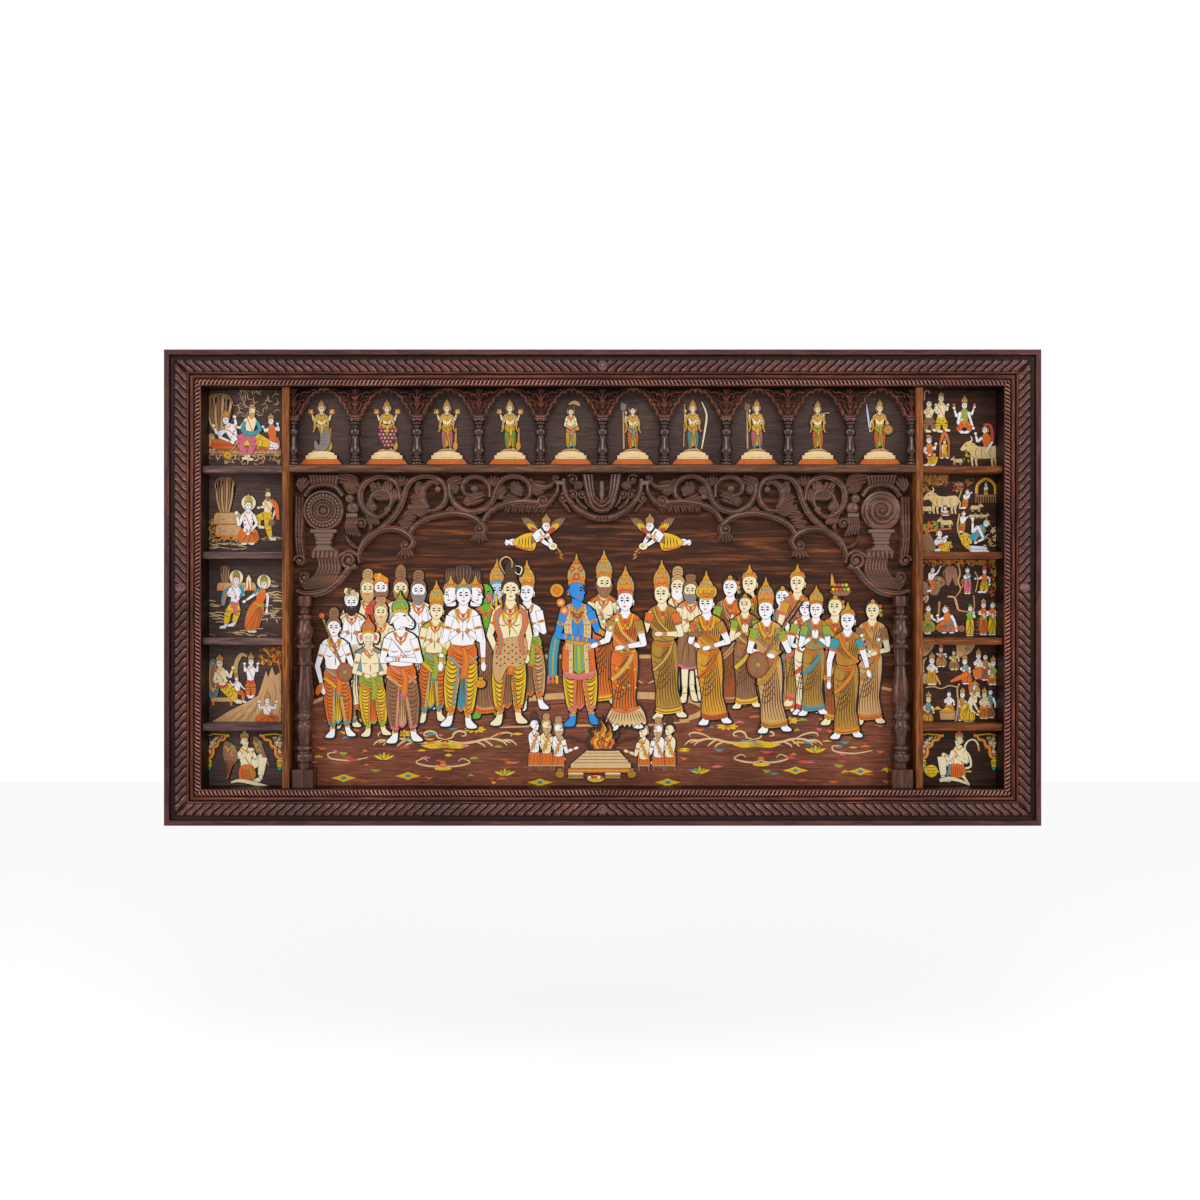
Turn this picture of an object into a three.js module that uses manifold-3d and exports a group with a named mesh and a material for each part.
// Wood inlay wall panel. A carved hardwood frame holds a dark board. Dividers and shelves part
// the board into fields, a carved arch on two turned columns frames the widest one, and figures
// cut from thin woods are laid on the board in every field.
//
// Millimetres, +Z up. The plain back lies in the plane y = 0 with the origin at its centre, and
// the face looks towards -Y. A depth is counted from the back plane towards the viewer, so a
// point at depth d has y = -d.

import * as THREE from "three";
import { mergeVertices } from "three/addons/utils/BufferGeometryUtils.js";
import Module from "manifold-3d";

const wasm = await Module();
wasm.setup();

// Driving dimensions of the case
const PANEL_WIDTH = 3048;
const PANEL_HEIGHT = 1655;
const PANEL_DEPTH = 118;
const RAIL_WIDTH = 124;
const MITRE_GAP = 0.3;
const BOARD_THICKNESS = 18;
const BOARD_TUCK = 20;
const BOARD_CLEARANCE = 0.5;
const SHELF_THICKNESS = 24;
const SHELF_FRONT = 88;
const DIVIDER_OFFSET = 1098;
const SIDE_FIELD_HEIGHT = 277;
const ARCADE_SHELF_TOP = 430;

// Sizes worked out from them
const HALF_WIDTH = PANEL_WIDTH / 2;
const HALF_HEIGHT = PANEL_HEIGHT / 2;
const OPENING_X = HALF_WIDTH - RAIL_WIDTH;
const OPENING_Z = HALF_HEIGHT - RAIL_WIDTH;
const DIVIDER_OUTER = DIVIDER_OFFSET + SHELF_THICKNESS;
const ARCADE_SHELF_UNDER = ARCADE_SHELF_TOP - SHELF_THICKNESS;
const SIDE_FIELD_WIDTH = OPENING_X - DIVIDER_OUTER;
const SIDE_FIELD_X = (OPENING_X + DIVIDER_OUTER) / 2;
const SIDE_ROWS = 5;

// Leaf band of the rails
const LEAF_PITCH = 130;
const LEAF_SLANT = 0.5;
const LEAF_DROP = 7;
const LEAF_FALL = 0.2;

// Turned and carved work
const COLUMN_X = 1051;
const COLUMN_AXIS = 54;
const COLUMN_BASE = 73;
const COLUMN_BASE_HEIGHT = 66;
const COLUMN_BASE_BACK = 19;
const COLUMN_BASE_FRONT = SHELF_FRONT;
const COLUMN_SIDES = 8;
const COLONNETTE_PITCH = 218;
const COLONNETTE_COUNT = 11;
const COLONNETTE_AXIS = 58;
const COLONNETTE_SIDES = 6;
const COLONNETTE_HEIGHT = 162;
const ARCH_BAND = 15;
const ARCH_FRONT = 56;

// Inlay, built up of sheets of wood
const SHEET = 4;
const FIGURE_FRONT = BOARD_THICKNESS + 2 * SHEET;
const PEDESTAL_FRONT = BOARD_THICKNESS + 3 * SHEET;
const TABLET_FRONT = BOARD_THICKNESS + SHEET;
const RELIEF_FRONT = TABLET_FRONT + SHEET;

const WOOD = {
  frame: { color: 0x4a2f28, roughness: 0.45 },
  edge: { color: 0x5f3f30, roughness: 0.45 },
  board: { color: 0x4a3226, roughness: 0.5 },
  niche: { color: 0x3a2b28, roughness: 0.5 },
  turned: { color: 0x33221f, roughness: 0.35 },
  carved: { color: 0x40291f, roughness: 0.42 },
  inlay: { color: 0xd8b078, roughness: 0.55 },
  court: { color: 0xd9a54a, roughness: 0.55 },
};

// Solids

// Drops slivers without area, then turns the faces outward.
function closed(positions) {
  const loose = new THREE.BufferGeometry();
  loose.setAttribute("position", new THREE.Float32BufferAttribute(positions, 3));
  const merged = mergeVertices(loose, 1e-3);
  const kept = [];
  const source = merged.index.array;
  let volume = 0;
  const corners = [new THREE.Vector3(), new THREE.Vector3(), new THREE.Vector3()];
  for (let i = 0; i < source.length; i += 3) {
    const [a, b, c] = [source[i], source[i + 1], source[i + 2]];
    if (a === b || b === c || a === c) continue;
    kept.push(a, b, c);
    [a, b, c].forEach((v, k) => corners[k].fromBufferAttribute(merged.attributes.position, v));
    volume += corners[0].dot(corners[1].clone().cross(corners[2]));
  }
  if (volume < 0) kept.reverse();
  merged.setIndex(kept);
  return merged;
}

function positionsOf(geometry) {
  const flat = geometry.index ? geometry.toNonIndexed() : geometry;
  return Array.from(flat.attributes.position.array);
}

// Stands a drawing in x and z up and gives it thickness between two depths.
function plate(outline, back, front, holes = []) {
  const shape = new THREE.Shape(outline.map(([x, z]) => new THREE.Vector2(x, z)));
  for (const hole of holes) {
    shape.holes.push(new THREE.Path(hole.map(([x, z]) => new THREE.Vector2(x, z))));
  }
  const slab = new THREE.ExtrudeGeometry(shape, { depth: front - back, bevelEnabled: false });
  const positions = positionsOf(slab);
  for (let i = 0; i < positions.length; i += 3) {
    const [x, z, depth] = positions.slice(i, i + 3);
    positions[i] = x;
    positions[i + 1] = -(back + depth);
    positions[i + 2] = z;
  }
  return closed(positions);
}

function rectangle(x0, x1, z0, z1) {
  return [
    [x0, z0],
    [x1, z0],
    [x1, z1],
    [x0, z1],
  ];
}

function block(x0, x1, z0, z1, back, front) {
  return plate(rectangle(x0, x1, z0, z1), back, front);
}

// A turned piece on an upright axis. The profile lists radius and height, foot first.
function turned(profile, sides, x, depth, foot) {
  const ends = [[0, profile[0][1]], ...profile, [0, profile[profile.length - 1][1]]];
  const points = ends.map(([radius, height]) => new THREE.Vector2(radius, height));
  const lathe = new THREE.LatheGeometry(points, sides);
  lathe.rotateX(Math.PI / 2);
  lathe.translate(x, -depth, foot);
  return closed(positionsOf(lathe));
}

// A turned disc that faces the viewer. The profile lists radius and depth, rim first.
function facingDisc(profile, sides, x, z) {
  const last = profile[profile.length - 1];
  const ends = [[0, profile[0][1]], ...profile, [0, last[1]]];
  const points = ends.map(([radius, depth]) => new THREE.Vector2(radius, depth));
  const lathe = new THREE.LatheGeometry(points, sides);
  lathe.rotateX(Math.PI);
  lathe.translate(x, 0, z);
  return closed(positionsOf(lathe));
}

function manifoldOf(geometry) {
  const bare = geometry.clone();
  bare.deleteAttribute("normal");
  bare.deleteAttribute("uv");
  const merged = mergeVertices(bare, 1e-3);
  return new wasm.Manifold(
    new wasm.Mesh({
      numProp: 3,
      vertProperties: merged.attributes.position.array,
      triVerts: new Uint32Array(merged.index.array),
    }),
  );
}

function geometryOf(solid) {
  const made = solid.asOriginal().simplify(0.02).getMesh();
  const geometry = new THREE.BufferGeometry();
  const positions = Array.from(made.vertProperties);
  geometry.setAttribute("position", new THREE.Float32BufferAttribute(positions, 3));
  geometry.setIndex(Array.from(made.triVerts));
  return geometry;
}

function fuse(pieces) {
  const solids = pieces.map(manifoldOf);
  return geometryOf(solids.reduce((whole, piece) => whole.add(piece)));
}

function keepInside(geometry, room) {
  return geometryOf(manifoldOf(geometry).intersect(manifoldOf(room)));
}

// Outlines in x and z

function disc(x, z, radius, sides = 7, squash = 1) {
  return Array.from({ length: sides }, (_, i) => {
    const turn = (i / sides) * 2 * Math.PI + Math.PI / 2;
    return [x + radius * Math.cos(turn), z + radius * squash * Math.sin(turn)];
  });
}

// A strip along a path that narrows evenly from its first width to its last.
function strip(path, firstWidth, lastWidth = firstWidth) {
  const near = [];
  const far = [];
  path.forEach(([x, z], i) => {
    const before = path[Math.max(i - 1, 0)];
    const after = path[Math.min(i + 1, path.length - 1)];
    const along = new THREE.Vector2(after[0] - before[0], after[1] - before[1]).normalize();
    const share = i / (path.length - 1);
    const half = (firstWidth + (lastWidth - firstWidth) * share) / 2;
    near.push([x - along.y * half, z + along.x * half]);
    far.unshift([x + along.y * half, z - along.x * half]);
  });
  return [...near, ...far];
}

// Points along a smooth line through a few chosen ones.
function smooth(chosen, steps) {
  const curve = new THREE.CatmullRomCurve3(chosen.map(([x, z]) => new THREE.Vector3(x, 0, z)));
  return curve.getSpacedPoints(steps).map((point) => [point.x, point.z]);
}

// A ring that winds in towards its end, as a vine does.
function scroll(x, z, outer, inner, startTurn, turns, steps) {
  return Array.from({ length: steps + 1 }, (_, i) => {
    const share = i / steps;
    const radius = outer + (inner - outer) * share ** 3;
    const angle = 2 * Math.PI * (startTurn + turns * share);
    return [x + radius * Math.cos(angle), z + radius * Math.sin(angle)];
  });
}

function tapered(x, z, lowerWidth, upperWidth, height) {
  return [
    [x - lowerWidth / 2, z],
    [x + lowerWidth / 2, z],
    [x + upperWidth / 2, z + height],
    [x - upperWidth / 2, z + height],
  ];
}

// Frame

const RAIL_BEFORE_LEAVES = [
  [0, 0],
  [0, PANEL_DEPTH],
  [18, PANEL_DEPTH],
  [21, 106],
  [33, 106],
];
const RAIL_AFTER_LEAVES = [
  [76, 107],
  [83, 109],
  [97, 102],
  [103, 99],
  [107, 106],
  [118, 107],
  [RAIL_WIDTH, 100],
  [RAIL_WIDTH, BOARD_THICKNESS],
  [RAIL_WIDTH - BOARD_TUCK, BOARD_THICKNESS],
  [RAIL_WIDTH - BOARD_TUCK, 0],
];
const LEAF_CROWN = { inset: 54, depth: 116 };

// Joins two neighbouring lines of points that run along the rail with a band of triangles.
function bandBetween(first, second) {
  const triangles = [];
  let i = 0;
  let j = 0;
  while (i < first.length - 1 || j < second.length - 1) {
    const firstNext = i < first.length - 1 ? first[i + 1].x : Infinity;
    const secondNext = j < second.length - 1 ? second[j + 1].x : Infinity;
    if (firstNext <= secondNext) {
      triangles.push(first[i], second[j], first[i + 1]);
      i += 1;
    } else {
      triangles.push(first[i], second[j], second[j + 1]);
      j += 1;
    }
  }
  return triangles;
}

// One rail along x, in its own frame: x along it, y inwards from its outer edge, z its depth.
// The leaves lean away from the middle of the rail on both sides.
function railTriangles(length) {
  const reach = (inset) => length / 2 - inset - MITRE_GAP / 2;
  const plainLine = ([inset, depth]) => [
    new THREE.Vector3(-reach(inset), inset, depth),
    new THREE.Vector3(reach(inset), inset, depth),
  ];
  const leafCount = Math.floor((reach(RAIL_AFTER_LEAVES[0][0]) - LEAF_PITCH) / LEAF_PITCH);
  const leafLine = (inset, depth, shift, drop) => {
    const middle = [];
    for (let leaf = -leafCount; leaf <= leafCount; leaf += 1) {
      const lean = Math.sign(leaf) * shift;
      middle.push(new THREE.Vector3((leaf + lean) * LEAF_PITCH, inset, depth));
      if (drop && leaf < leafCount) {
        const fallen = leaf < 0 ? leaf + 1 - LEAF_FALL - shift : leaf + LEAF_FALL + shift;
        middle.push(new THREE.Vector3(fallen * LEAF_PITCH, inset, depth - drop));
      }
    }
    middle.sort((a, b) => a.x - b.x);
    const [start, end] = plainLine([inset, depth]);
    return [start, ...middle, end];
  };
  const lines = [
    ...RAIL_BEFORE_LEAVES.slice(0, -1).map(plainLine),
    leafLine(...RAIL_BEFORE_LEAVES[RAIL_BEFORE_LEAVES.length - 1], 0, 0),
    leafLine(LEAF_CROWN.inset, LEAF_CROWN.depth, LEAF_SLANT / 2, LEAF_DROP),
    leafLine(...RAIL_AFTER_LEAVES[0], LEAF_SLANT, 0),
    ...RAIL_AFTER_LEAVES.slice(1).map(plainLine),
  ];
  const triangles = [];
  lines.forEach((line, i) => {
    triangles.push(...bandBetween(line, lines[(i + 1) % lines.length]));
  });
  const section = lines.map((line) => new THREE.Vector2(line[0].y, line[0].z));
  const { area, triangulateShape } = THREE.ShapeUtils;
  for (const corners of triangulateShape(section, [])) {
    const sameTurn = area(section) * area(corners.map((corner) => section[corner])) > 0;
    const [a, b, c] = sameTurn ? corners : [...corners].reverse();
    triangles.push(lines[c][0], lines[b][0], lines[a][0]);
    triangles.push(lines[a].at(-1), lines[b].at(-1), lines[c].at(-1));
  }
  return triangles;
}

// Places a rail on its side of the panel by quarter turns, so that its corners stay exact.
const SIDES = {
  bottom: ({ x, y, z }) => [x, -z, y - HALF_HEIGHT],
  top: ({ x, y, z }) => [-x, -z, HALF_HEIGHT - y],
  left: ({ x, y, z }) => [y - HALF_WIDTH, -z, -x],
  right: ({ x, y, z }) => [HALF_WIDTH - y, -z, x],
};

function rail(side) {
  const length = side === "top" || side === "bottom" ? PANEL_WIDTH : PANEL_HEIGHT;
  return closed(railTriangles(length).flatMap(SIDES[side]));
}

// Board, dividers and shelves

function backboard() {
  const halfWidth = OPENING_X + BOARD_TUCK - BOARD_CLEARANCE;
  const halfHeight = OPENING_Z + BOARD_TUCK - BOARD_CLEARANCE;
  return block(-halfWidth, halfWidth, -halfHeight, halfHeight, 0, BOARD_THICKNESS);
}

// Underside and top of each of the five side fields, from the top down.
const SIDE_FIELDS = Array.from({ length: SIDE_ROWS }, (_, row) => {
  const top = OPENING_Z - row * (SIDE_FIELD_HEIGHT + SHELF_THICKNESS);
  const bottom = row === SIDE_ROWS - 1 ? -OPENING_Z : top - SIDE_FIELD_HEIGHT;
  return { bottom, top };
});

function sideShelf(side, row) {
  const top = SIDE_FIELDS[row].bottom;
  const [x0, x1] = side < 0 ? [-OPENING_X, -DIVIDER_OUTER] : [DIVIDER_OUTER, OPENING_X];
  return block(x0, x1, top - SHELF_THICKNESS, top, BOARD_THICKNESS, SHELF_FRONT);
}

// Turned work: radius and height above the foot

const COLUMN_PROFILE = [
  [24, COLUMN_BASE_HEIGHT],
  [25, 88],
  [34, 112],
  [23, 153],
  [33, 210],
  [27, 232],
  [34, 250],
  [25, 271],
  [33, 312],
  [21, 429],
  [27.5, 438],
  [22.5, 487],
  [34.5, 498],
  [23, 521],
  [32, 543],
  [23, 588],
  [29.5, 602],
  [17.5, 623],
  [26, 641],
  [26.5, 674],
];

function greatColumn(side) {
  const half = COLUMN_BASE / 2;
  const x = side * COLUMN_X;
  const foot = -OPENING_Z;
  const base = block(x - half, x + half, foot, foot + COLUMN_BASE_HEIGHT, COLUMN_BASE_BACK,
    COLUMN_BASE_FRONT);
  const overlap = 2;
  const profile = COLUMN_PROFILE.map(([radius, height], i) => [radius, i ? height : height - overlap]);
  return fuse([base, turned(profile, COLUMN_SIDES, x, COLUMN_AXIS, foot)]);
}

const COLONNETTE_PROFILE = [
  [24, 0],
  [18, 16],
  [21, 50],
  [13, 88],
  [22, 126],
  [16, 134],
  [24, COLONNETTE_HEIGHT],
];

function colonnette(index) {
  const x = (index - (COLONNETTE_COUNT - 1) / 2) * COLONNETTE_PITCH;
  const made = turned(COLONNETTE_PROFILE, COLONNETTE_SIDES, x, COLONNETTE_AXIS, ARCADE_SHELF_TOP);
  const limit = DIVIDER_OFFSET - MITRE_GAP;
  if (Math.abs(x) + COLONNETTE_PROFILE[0][0] < limit) return made;
  const low = ARCADE_SHELF_TOP - 1;
  return keepInside(made, block(-limit, limit, low, OPENING_Z, 0, PANEL_DEPTH));
}

// Arcade fretwork: a strip over the colonnettes with one cusped arch to each bay. Places in a bay
// are shares of its width, counted from its middle, and shares of its rise.

const FRETWORK_BACK = 50;
const FRETWORK_FRONT = 66;
const FRETWORK_RIM = 9;
const SPRING = ARCADE_SHELF_TOP + COLONNETTE_HEIGHT;
const CUSPS = [
  [0.39, 0],
  [0.44, 0.36],
  [0.33, 0.46],
  [0.13, 0.8],
];
const FRET_HOLE = [
  [0.32, 0.9],
  [0.46, 0.66],
  [0.45, 0.98],
];

function arcadeFretwork() {
  const rise = OPENING_Z - FRETWORK_RIM - SPRING;
  const end = DIVIDER_OFFSET - MITRE_GAP;
  const foot = SPRING + MITRE_GAP;
  const lower = [[-end, foot]];
  const holes = [];
  for (let bay = 0; bay < COLONNETTE_COUNT - 1; bay += 1) {
    const middle = (bay + 0.5 - (COLONNETTE_COUNT - 1) / 2) * COLONNETTE_PITCH;
    const left = CUSPS.map(([across, up]) => [-across, up]);
    const right = [...CUSPS].reverse();
    for (const [across, up] of [...left, [0, 1], ...right]) {
      lower.push([middle + across * COLONNETTE_PITCH, foot + up * rise]);
    }
    for (const side of [-1, 1]) {
      holes.push(FRET_HOLE.map(([across, up]) => [
        middle + side * across * COLONNETTE_PITCH,
        SPRING + up * rise,
      ]));
    }
  }
  lower.push([end, foot]);
  const outline = [...lower, [end, OPENING_Z], [-end, OPENING_Z]];
  return plate(outline, FRETWORK_BACK, FRETWORK_FRONT, holes);
}

// Carved arch. Every outline is drawn for the left half and mirrored for the right one.

const ARCH_BATTEN = 16;
const ARCH_INNER_END = 148;
const ARCH_FOOT = -29;
const ARCH_LINES = [
  { path: [[-870, 108], [-847, 158], [-812, 188], [-755, 206], [-705, 193], [-675, 148]], steps: 5 },
  { path: [[-700, 160], [-656, 215], [-602, 242], [-541, 259], [-470, 246], [-424, 200]], steps: 5 },
  { path: [[-428, 228], [-393, 269], [-344, 294], [-284, 305], [-215, 300]], steps: 4 },
  { path: [[-232, 300], [-183, 296], [-160, 330], [-160, 398]], steps: 2 },
];
const VINES = [
  { x: -793, z: 318, radius: 68, start: 0.9, turns: 1.2 },
  { x: -598, z: 333, radius: 62, start: 0.6, turns: -1.2 },
  { x: -460, z: 333, radius: 64, start: 0.4, turns: 1.2 },
  { x: -309, z: 346, radius: 50, start: 0.6, turns: -1.2 },
];
const VINE_STEPS = 6;
const VINE_START_WIDTH = 12;
const VINE_END_WIDTH = 22;
const ARCH_LEAVES = [
  [[-712, 310], [-660, 210]],
  [[-860, 395], [-915, 330]],
  [[-690, 155], [-700, 108]],
  [[-430, 205], [-440, 152]],
];
const LEAF_START_WIDTH = 20;
const LEAF_END_WIDTH = 28;
const PLUMES = [
  [[-1070, 390], [-1066, 125]],
  [[-886, 390], [-862, 100]],
];
const PLUME_START_WIDTH = 44;
const PLUME_END_WIDTH = 24;
const ACANTHUS = [
  { path: [[-993, 126], [-1016, -8]], width: 30 },
  { path: [[-975, 126], [-958, 24]], width: 30 },
  { path: [[-1078, 84], [-1010, 20]], width: 38 },
];
const SWOOSH = [[-1086, 30], [-1070, -8], [-1020, -20], [-965, -4], [-915, 42], [-880, 88]];
const SWOOSH_WIDTH = 17;
const SWOOSH_CURL = { x: -893, z: 97, radius: 30 };
const ROSETTE = { x: -983, z: 272 };
const ROSETTE_SIDES = 8;
const ROSETTE_CROWN = tapered(ROSETTE.x, 335, 60, 90, 62);
const ROSETTE_BELL = tapered(ROSETTE.x, 120, 92, 50, 90);
const ROSETTE_PROFILE = [
  [70, BOARD_THICKNESS],
  [70, 50],
  [62, 56],
  [50, 46],
  [34, 54],
  [14, 46],
];

function archHalf(side) {
  const carve = (outline) =>
    plate(outline.map(([x, z]) => [-side * x, z]), BOARD_THICKNESS, ARCH_FRONT);
  const pieces = [
    carve(rectangle(-DIVIDER_OFFSET, -ARCH_INNER_END, ARCADE_SHELF_UNDER - ARCH_BATTEN,
      ARCADE_SHELF_UNDER)),
    carve(ROSETTE_CROWN),
    carve(ROSETTE_BELL),
    facingDisc(ROSETTE_PROFILE, ROSETTE_SIDES, -side * ROSETTE.x, ROSETTE.z),
    carve(strip(smooth(SWOOSH, 5), SWOOSH_WIDTH)),
    carve(disc(SWOOSH_CURL.x, SWOOSH_CURL.z, SWOOSH_CURL.radius)),
  ];
  for (const { path, steps } of ARCH_LINES) pieces.push(carve(strip(smooth(path, steps), ARCH_BAND)));
  for (const { x, z, radius, start, turns } of VINES) {
    const winding = scroll(x, z, radius, radius * 0.35, start, turns, VINE_STEPS);
    pieces.push(carve(strip(winding, VINE_START_WIDTH, VINE_END_WIDTH)));
  }
  for (const leaf of ARCH_LEAVES) pieces.push(carve(strip(leaf, LEAF_START_WIDTH, LEAF_END_WIDTH)));
  for (const plume of PLUMES) pieces.push(carve(strip(plume, PLUME_START_WIDTH, PLUME_END_WIDTH)));
  for (const { path, width } of ACANTHUS) pieces.push(carve(strip(path, width)));
  const room = block(-DIVIDER_OFFSET, DIVIDER_OFFSET, ARCH_FOOT, ARCADE_SHELF_UNDER, 0, PANEL_DEPTH);
  return keepInside(fuse(pieces), room);
}

const CREST_HALF_WIDTH = 138;
const CREST_BAND = 14;
const CREST_BATTEN_FRONT = 34;
const CREST_FOOT = 200;
const CREST_SWAG = [[-128, 398], [-126, 345], [-87, 286], [-45, 262], [0, 252]];
const CREST_HORSESHOE = [[-56, 398], [-52, 330], [-30, 284], [0, 274]];
const CREST_DROP = tapered(0, 292, 6, 14, 108);
const CREST_CURL = [[80, 318], [92, 400]];
const CREST_CURL_WIDTH = 40;

function archCrest() {
  const carve = (outline) => plate(outline, BOARD_THICKNESS, ARCH_FRONT);
  const mirrored = (path) => path.map(([x, z]) => [-x, z]);
  const wholeLine = (half, steps) =>
    strip(smooth([...half, ...mirrored(half).reverse().slice(1)], steps), CREST_BAND);
  const pieces = [
    carve(wholeLine(CREST_SWAG, 10)),
    carve(wholeLine(CREST_HORSESHOE, 8)),
    carve(CREST_DROP),
    carve(strip(CREST_CURL, CREST_CURL_WIDTH)),
    carve(strip(mirrored(CREST_CURL), CREST_CURL_WIDTH)),
    block(-CREST_HALF_WIDTH, CREST_HALF_WIDTH, ARCADE_SHELF_UNDER - CREST_BAND, ARCADE_SHELF_UNDER,
      BOARD_THICKNESS, CREST_BATTEN_FRONT),
  ];
  const room = block(-CREST_HALF_WIDTH, CREST_HALF_WIDTH, CREST_FOOT, ARCADE_SHELF_UNDER, 0,
    PANEL_DEPTH);
  return keepInside(fuse(pieces), room);
}

// Inlaid figures. Widths and heights are shares of the figure's own height. Each figure is cut
// from wood of one thickness, because its inner lines are only colour.

function cutout(outline) {
  return plate(outline, BOARD_THICKNESS, FIGURE_FRONT);
}

function relief(outline) {
  return plate(outline, TABLET_FRONT, RELIEF_FRONT);
}

function bothSides(half) {
  const offMiddle = half.filter(([across]) => across > 0);
  const other = offMiddle.map(([across, up]) => [-across, up]).reverse();
  return [...half, ...other];
}

function figureOutline({ x, foot, height }, half) {
  return bothSides(half).map(([across, up]) => [x + across * height, foot + up * height]);
}

// Figures lower than this have straight arms.
const SMALL_FIGURE = 300;
const HEAD_UP = 0.81;
const SHOULDER_UP = HEAD_UP - 0.12;
const SHOULDER_OUT = 0.08;
const UPPER_ARM = 0.055;
const FOREARM = 0.045;

// A standing figure with its skirt or trousers, its headdress, its arms and its halo.
function standing({ x, foot, height, hem = 0.22, hands = [], halo = 0 }) {
  const at = (across, up) => [x + across * height, foot + up * height];
  const half = [
    [hem / 2, 0],
    [0.07, 0.5],
    [0.115, HEAD_UP - 0.1],
    [0.04, HEAD_UP - 0.06],
    [0.065, HEAD_UP + 0.03],
    [0, 1],
  ];
  const pieces = [cutout(figureOutline({ x, foot, height }, half))];
  if (halo) pieces.push(cutout(disc(...at(0, HEAD_UP), halo * height)));
  for (const [across, up] of hands) {
    const outward = Math.sign(across);
    const shoulder = at(outward * SHOULDER_OUT, SHOULDER_UP);
    const hand = at(across, up);
    if (height < SMALL_FIGURE) {
      pieces.push(cutout(strip([shoulder, hand], UPPER_ARM * height, FOREARM * height)));
      continue;
    }
    const elbow = at(across * 0.6 + outward * 0.07, (up + SHOULDER_UP) / 2 - 0.06);
    pieces.push(cutout(strip([shoulder, elbow], UPPER_ARM * height, FOREARM * height)));
    pieces.push(cutout(strip([elbow, hand], FOREARM * height)));
  }
  return pieces;
}

// A standing figure of a side picture, too small for arms of its own.
const SMALL_STANDING_HALF = [
  [0.15, 0],
  [0.08, 0.52],
  [0.12, 0.7],
  [0.075, 0.86],
  [0, 1],
];

// Head and shoulders of a figure that stands behind others.
const BUST_HALF = [
  [0.13, 0.4],
  [0.13, 0.68],
  [0.04, 0.75],
  [0.085, 0.85],
  [0, 1],
];

function bust(spot) {
  return [plate(figureOutline(spot, BUST_HALF), BOARD_THICKNESS, BOARD_THICKNESS + SHEET)];
}

// A figure seated on the ground with folded legs.
const SEATED_HALF = [
  [0.32, 0],
  [0.17, 0.26],
  [0.17, 0.62],
  [0.11, 0.8],
  [0, 1],
];

// Arcade: one figure to each bay, on a pedestal

const PEDESTAL_HEIGHT = 58;
const PEDESTAL_HALF = [
  [71, 0],
  [60, 19],
  [54, 36],
  [30, PEDESTAL_HEIGHT],
];
const NICHE_FIGURE_FOOT = ARCADE_SHELF_TOP + PEDESTAL_HEIGHT - 4;
const NICHE_FIGURE_HEIGHT = 182;
const STAFF_WIDTH = 6;
const NICHE_FIGURES = [
  { hem: 0.2, hands: [[-0.24, 0.72], [0.24, 0.72], [-0.2, 0.4], [0.2, 0.42]], tail: true },
  { hem: 0.26, hands: [[-0.26, 0.74], [0.24, 0.74], [-0.2, 0.42], [0.2, 0.42]] },
  { hem: 0.3, hands: [[-0.24, 0.72], [0.26, 0.7], [-0.22, 0.45], [0.2, 0.45]] },
  { hem: 0.3, hands: [[-0.22, 0.72], [0.24, 0.74], [-0.2, 0.44], [0.22, 0.4]], halo: 0.12 },
  { hem: 0.28, hands: [[-0.2, 0.6], [0.18, 0.45]], parasol: true },
  { hem: 0.28, hands: [[-0.22, 0.62], [0.2, 0.56]] },
  { hem: 0.24, hands: [[-0.26, 0.62], [0.26, 0.5]], staff: 0.27 },
  { hem: 0.26, hands: [[-0.16, 0.5], [0.22, 0.7]], staff: -0.18 },
  { hem: 0.2, hands: [[-0.18, 0.74], [0.12, 0.76]], halo: 0.11 },
  { hem: 0.3, hands: [[-0.2, 0.74], [0.24, 0.5]], staff: -0.22 },
];

function nicheFigure(index) {
  const { hem, hands, halo, tail, parasol, staff } = NICHE_FIGURES[index];
  const x = (index + 0.5 - NICHE_FIGURES.length / 2) * COLONNETTE_PITCH;
  const foot = NICHE_FIGURE_FOOT;
  const height = NICHE_FIGURE_HEIGHT;
  const pedestal = bothSides(PEDESTAL_HALF).map(([across, up]) => [x + across, ARCADE_SHELF_TOP + up]);
  const pieces = [
    plate(pedestal, BOARD_THICKNESS, PEDESTAL_FRONT),
    ...standing({ x, foot, height, hem, hands, halo }),
  ];
  if (tail) pieces.push(cutout(strip([[x, foot], [x - 34, foot + 12], [x - 30, foot + 50]], 26, 8)));
  if (parasol) pieces.push(cutout(tapered(x - 6, foot + 0.98 * height, 60, 20, 14)));
  if (staff) {
    const top = [x + staff * height * 0.95, foot + height * 0.9];
    pieces.push(cutout(strip([[x + staff * height, foot + 30], top], STAFF_WIDTH)));
  }
  return fuse(pieces);
}

// Side fields: a thin dark tablet with raised pictures. Places are measured from the middle of
// each field.

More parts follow.
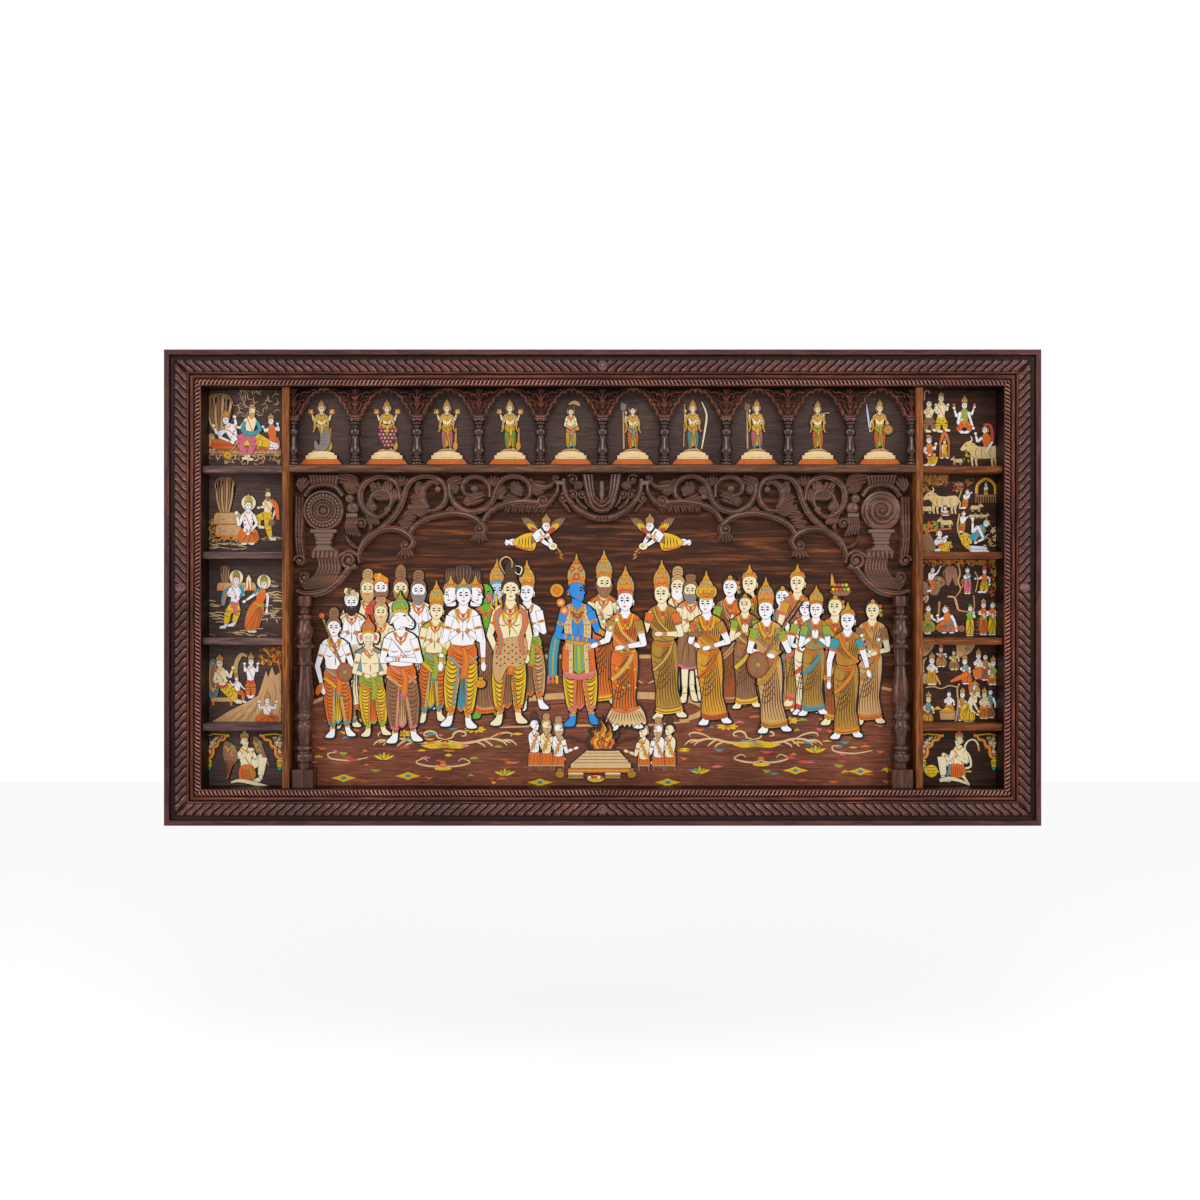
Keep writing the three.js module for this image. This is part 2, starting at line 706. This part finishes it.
const SIDE_SCENES = {
  left: [
    [
      { kind: "hood", dx: -86, dz: 84, size: 50 },
      { kind: "seated", dx: -72, foot: -78, height: 128 },
      { kind: "standing", dx: 10, foot: -100, height: 182 },
      { kind: "seated", dx: 82, foot: -86, height: 120 },
    ],
    [
      { kind: "hood", dx: -76, dz: 80, size: 46 },
      { kind: "coils", dx: -74, dz: -20, size: 110 },
      { kind: "seated", dx: 12, foot: -116, height: 140 },
      { kind: "standing", dx: 74, foot: -112, height: 190 },
    ],
    [
      { kind: "standing", dx: -44, foot: -100, height: 182 },
      { kind: "standing", dx: 56, foot: -108, height: 180 },
    ],
    [
      { kind: "seated", dx: -78, foot: -64, height: 120 },
      { kind: "standing", dx: 12, foot: -34, height: 150 },
      { kind: "peak", dx: 72, dz: -110, size: 120 },
    ],
    [
      { kind: "kneeling", dx: -6, foot: -88, height: 164, faces: -1 },
      { kind: "corner", dx: -100, dz: 76, size: 62 },
      { kind: "corner", dx: 100, dz: 76, size: 62 },
    ],
  ],
  right: [
    [
      { kind: "standing", dx: -72, foot: 10, height: 112 },
      { kind: "standing", dx: 22, foot: 0, height: 118 },
      { kind: "beast", dx: 50, foot: -128, length: 150 },
      { kind: "seated", dx: -90, foot: -122, height: 90 },
    ],
    [
      { kind: "beast", dx: -54, foot: 6, length: 112 },
      { kind: "shrine", dx: 96, dz: 46, size: 70 },
      { kind: "seated", dx: 82, foot: -122, height: 100 },
      { kind: "seated", dx: -44, foot: -126, height: 100 },
    ],
    [
      { kind: "beast", dx: -60, foot: 6, length: 110 },
      { kind: "standing", dx: 56, foot: 0, height: 118 },
      { kind: "seated", dx: -68, foot: -124, height: 104 },
      { kind: "seated", dx: 76, foot: -120, height: 108 },
    ],
    [
      { kind: "seated", dx: -70, foot: 22, height: 100 },
      { kind: "seated", dx: 54, foot: 20, height: 100 },
      { kind: "seated", dx: -80, foot: -116, height: 100 },
      { kind: "seated", dx: 72, foot: -116, height: 108 },
    ],
    [
      { kind: "kneeling", dx: 6, foot: -88, height: 164, faces: 1 },
      { kind: "corner", dx: -100, dz: 76, size: 62 },
      { kind: "corner", dx: 100, dz: 76, size: 62 },
    ],
  ],
};

// How each kind of picture element is cut, for a place in panel coordinates. Points are shares
// of the element's own size.
const CUTS = {
  standing: (spot) => [relief(figureOutline(spot, SMALL_STANDING_HALF))],
  seated: (spot) => [relief(figureOutline(spot, SEATED_HALF))],
  beast: ({ x, foot, length }) => {
    const at = (across, up) => [x - across * length, foot + up * length];
    return [relief([at(-0.4, 0), at(-0.28, 0), at(-0.24, 0.26), at(0.14, 0.26), at(0.18, 0),
      at(0.28, 0), at(0.32, 0.42), at(0.5, 0.5), at(0.3, 0.74), at(0.12, 0.52), at(-0.4, 0.52)])];
  },
  hood: ({ x, z, size }) => [
    relief([[x - size * 0.4, z - size], [x + size * 0.4, z - size], [x + size, z + size * 0.4],
      [x, z + size], [x - size, z + size * 0.4]]),
  ],
  coils: ({ x, z, size }) => [relief(tapered(x, z - size * 0.8, size, size * 0.6, size * 1.1))],
  peak: ({ x, z, size }) => [
    relief([[x - size / 2, z], [x + size / 2, z], [x + size * 0.2, z + size * 0.8],
      [x, z + size], [x - size * 0.3, z + size * 0.6]]),
  ],
  shrine: ({ x, z, size }) => [
    relief([[x - size / 2, z], [x + size / 2, z], [x + size / 2, z + size * 0.6], [x, z + size],
      [x - size / 2, z + size * 0.6]]),
  ],
  corner: ({ x, z, size, inward }) => [
    relief([[x - inward * size * 0.6, z + size * 0.26], [x - inward * size * 0.6, z - size],
      [x - inward * size * 0.2, z - size * 0.5], [x + inward * size * 0.4, z - size * 0.3],
      [x + inward * size * 0.8, z + size * 0.26]]),
  ],
  kneeling: ({ x, foot, height, faces }) => {
    const at = (across, up) => [x + faces * across * height, foot + up * height];
    return [
      relief([at(-0.34, 0), at(0.3, 0), at(0.36, 0.36), at(0.16, 0.42), at(0.16, 0.64),
        at(0.1, 0.7), at(0.17, 0.8), at(0.08, 1), at(-0.02, 0.86), at(0, 0.7), at(-0.12, 0.62),
        at(-0.1, 0.3)]),
      relief(strip([at(0.1, 0.5), at(0.32, 0.56)], 0.09 * height)),
      relief(strip([at(-0.2, 0.06), at(-0.44, 0.3)], 0.12 * height)),
      relief(strip([at(-0.42, 0.26), at(-0.3, 0.7)], 0.12 * height, 0.05 * height)),
    ];
  },
};

function sideScene(sideName, row) {
  const { bottom, top } = SIDE_FIELDS[row];
  const half = SIDE_FIELD_WIDTH / 2 - BOARD_CLEARANCE;
  const x = sideName === "left" ? -SIDE_FIELD_X : SIDE_FIELD_X;
  const z = (bottom + top) / 2;
  const pieces = [
    block(x - half, x + half, bottom + BOARD_CLEARANCE, top - BOARD_CLEARANCE, BOARD_THICKNESS,
      TABLET_FRONT),
  ];
  for (const item of SIDE_SCENES[sideName][row]) {
    const { kind, dx, dz = 0, foot = 0, ...rest } = item;
    const place = { x: x + dx, z: z + dz, foot: z + foot, inward: -Math.sign(dx), ...rest };
    pieces.push(...CUTS[kind](place));
  }
  return fuse(pieces);
}

// Main field. Each line places one figure of the assembly by its middle, its feet and its top.

const BEHIND_FOOT = -330;
const COURT_LEFT = [
  { x: -934, foot: -520, top: -90, hands: [[-0.15, 0.28], [0.14, 0.52]] },
  { x: -820, foot: -519, top: -119 },
  { x: -714, foot: -547, top: -52 },
  { x: -597, foot: -466, top: 13 },
  { x: -505, foot: -508, top: 75, hands: [[-0.17, 0.4], [0.13, 0.4]] },
  { x: -335, foot: -487, top: 89, hands: [[-0.14, 0.48]] },
  { x: -908, top: -80, behind: true },
  { x: -890, top: -17, behind: true },
  { x: -834, top: 50, behind: true },
  { x: -784, top: 43, behind: true },
  { x: -661, top: 50, behind: true },
  { x: -715, top: 72, behind: true },
  { x: -413, foot: -445, top: 8, hem: 0.16 },
  { x: -374, top: 68, behind: true },
  { x: -262, foot: -420, top: 93, hem: 0.16 },
];
const COURT_CENTRE = [
  { x: -91, foot: -477, top: 118, hem: 0.2, hands: [[-0.13, 0.6]] },
  { x: 6, foot: -402, top: 121, hem: 0.2 },
  { x: 88, foot: -484, top: 79, hem: 0.2 },
];
const COURT_RIGHT = [
  { x: 226, foot: -459, top: 88, hem: 0.19 },
  { x: 264, top: 53, behind: true },
  { x: 312, top: 43, behind: true },
  { x: 382, foot: -473, top: 56 },
  { x: 454, foot: -339, top: 36, hem: 0.2 },
  { x: 500, foot: -424, top: -17, hem: 0.2 },
  { x: 531, top: 59, behind: true },
  { x: 585, foot: -498, top: 11, hem: 0.22 },
  { x: 641, top: 40, behind: true },
  { x: 691, top: 65, behind: true },
  { x: 747, foot: -434, top: 2 },
  { x: 808, top: -20, behind: true },
  { x: 832, foot: -400, top: 33, behind: true },
  { x: 862, foot: -526, top: -66, hem: 0.2, hands: [[0.13, 0.6]] },
  { x: 950, foot: -473, top: -42, hem: 0.2 },
];

// Outlines of what the assembly carries or wears beside the plain figures.
const LEFT_THINGS = {
  luteBody: disc(-927, -296, 32, 8),
  luteNeck: strip([[-935, -290], [-1000, -345]], 14),
  rightFace: disc(-464, -10, 34),
  leftFace: disc(-545, -10, 34),
  tallHair: tapered(-505, -8, 120, 84, 84),
  tridentStaff: strip([[-374, -50], [-290, -462]], 9),
  hairCrescent: strip([[-330, 40], [-345, 92], [-310, 96]], 10, 6),
  wrap: rectangle(-400, -270, -330, -190),
};
const CENTRE_THINGS = {
  handDisc: disc(-162, -8, 23, 8),
  discArm: strip([[-162, -8], [-140, -70], [-100, -110]], 22, 26),
  hangingScarf: tapered(-188, -320, 34, 30, 190),
  scarfFold: strip([[-188, -140], [-110, -100]], 30),
  garlands: tapered(-91, -300, 120, 90, 150),
};
const RIGHT_THINGS = {
  fruitTray: tapered(345, -158, 74, 86, 18),
  gourd: disc(552, -276, 42, 9),
  gourdNeck: strip([[560, -250], [718, -40]], 16, 10),
  headTray: tapered(832, -8, 70, 84, 54),
};

function court(people, things) {
  const pieces = Object.values(things).map(cutout);
  for (const { top, behind, foot = BEHIND_FOOT, ...person } of people) {
    const spot = { ...person, foot, height: top - foot };
    pieces.push(...(behind ? bust(spot) : standing(spot)));
  }
  return fuse(pieces);
}

// Fire altar with three seated figures on each side, all holding ladles into the fire

const ALTAR_X = -6;
const ALTAR_FLOOR = -664;
const ALTAR_THINGS = {
  slab: tapered(ALTAR_X, ALTAR_FLOOR, 236, 214, 20),
  altar: tapered(ALTAR_X, ALTAR_FLOOR + 18, 200, 112, 64),
  flames: [[-44, -588], [40, -588], [34, -540], [0, -468], [-34, -545]],
  book: tapered(-98, -672, 46, 40, 20),
  flowerTray: disc(-26, -670, 24, 6, 0.5),
};
const ALTAR_ROWS = [
  { xs: [-246, -203, -158], faces: 1 },
  { xs: [238, 196, 146], faces: -1 },
];
const SEATED_HEIGHT = 138;
const SEATED_FOOT = -606;
const SEATED_STEP = 8;

function fireAltarGroup() {
  const pieces = Object.values(ALTAR_THINGS).map(cutout);
  for (const { xs, faces } of ALTAR_ROWS) {
    xs.forEach((x, i) => {
      const foot = SEATED_FOOT - SEATED_STEP * i;
      pieces.push(cutout(figureOutline({ x, foot, height: SEATED_HEIGHT }, SEATED_HALF)));
      pieces.push(cutout(tapered(x, foot - 44, 40, 62, 46)));
    });
    const front = xs[xs.length - 1];
    const hand = [front + faces * 40, -562];
    pieces.push(cutout(strip([[front + faces * 14, -564], hand], 12)));
    pieces.push(cutout(strip([hand, [ALTAR_X - faces * 20, -588]], 7)));
  }
  return fuse(pieces);
}

// Flying figure that scatters petals. Drawn for the left one.
const WINGED_THINGS = {
  farWing: [[-236, 196], [-268, 258], [-246, 254], [-206, 200]],
  nearWing: [[-205, 188], [-150, 258], [-134, 256], [-185, 180]],
  skirt: strip([[-340, 158], [-290, 176], [-240, 178]], 18, 44),
  body: strip([[-250, 168], [-206, 204]], 34, 44),
  head: disc(-199, 216, 17, 7, 1.15),
  crown: tapered(-199, 228, 30, 8, 26),
  arm: strip([[-220, 190], [-205, 166], [-176, 152]], 14, 10),
};

function wingedFigure(side) {
  const outlines = Object.values(WINGED_THINGS);
  return fuse(outlines.map((outline) => cutout(outline.map(([x, z]) => [-side * x, z]))));
}

// Assembly

const group = new THREE.Group();

function place(name, geometry, wood) {
  const material = new THREE.MeshStandardMaterial({ metalness: 0, ...WOOD[wood] });
  geometry.computeVertexNormals();
  const mesh = new THREE.Mesh(geometry, material);
  mesh.name = name;
  group.add(mesh);
}

function twoDigits(number) {
  return String(number).padStart(2, "0");
}

place("backboard", backboard(), "board");
for (const side of Object.keys(SIDES)) place(`frame_rail_${side}`, rail(side), "frame");

const FACE = [BOARD_THICKNESS, SHELF_FRONT];
place("divider_left", block(-DIVIDER_OUTER, -DIVIDER_OFFSET, -OPENING_Z, OPENING_Z, ...FACE), "edge");
place("divider_right", block(DIVIDER_OFFSET, DIVIDER_OUTER, -OPENING_Z, OPENING_Z, ...FACE), "edge");
place("arcade_shelf", block(-DIVIDER_OFFSET, DIVIDER_OFFSET, ARCADE_SHELF_UNDER, ARCADE_SHELF_TOP,
  ...FACE), "edge");

for (const [sideName, side] of [["left", -1], ["right", 1]]) {
  for (let row = 0; row < SIDE_ROWS - 1; row += 1) {
    place(`side_shelf_${sideName}_${row + 1}`, sideShelf(side, row), "edge");
  }
  for (let row = 0; row < SIDE_ROWS; row += 1) {
    place(`side_scene_${sideName}_${row + 1}`, sideScene(sideName, row), "niche");
  }
  place(`great_column_${sideName}`, greatColumn(side), "turned");
  place(`arch_${sideName}`, archHalf(side), "carved");
  place(`winged_figure_${sideName}`, wingedFigure(side), "inlay");
}
place("arch_crest", archCrest(), "carved");
place("arcade_fretwork", arcadeFretwork(), "carved");

for (let index = 0; index < COLONNETTE_COUNT; index += 1) {
  place(`colonnette_${twoDigits(index + 1)}`, colonnette(index), "turned");
}
NICHE_FIGURES.forEach((_, index) => {
  place(`niche_figure_${twoDigits(index + 1)}`, nicheFigure(index), "inlay");
});

place("court_left", court(COURT_LEFT, LEFT_THINGS), "court");
place("court_centre", court(COURT_CENTRE, CENTRE_THINGS), "court");
place("court_right", court(COURT_RIGHT, RIGHT_THINGS), "court");
place("fire_altar_group", fireAltarGroup(), "court");

export default group;
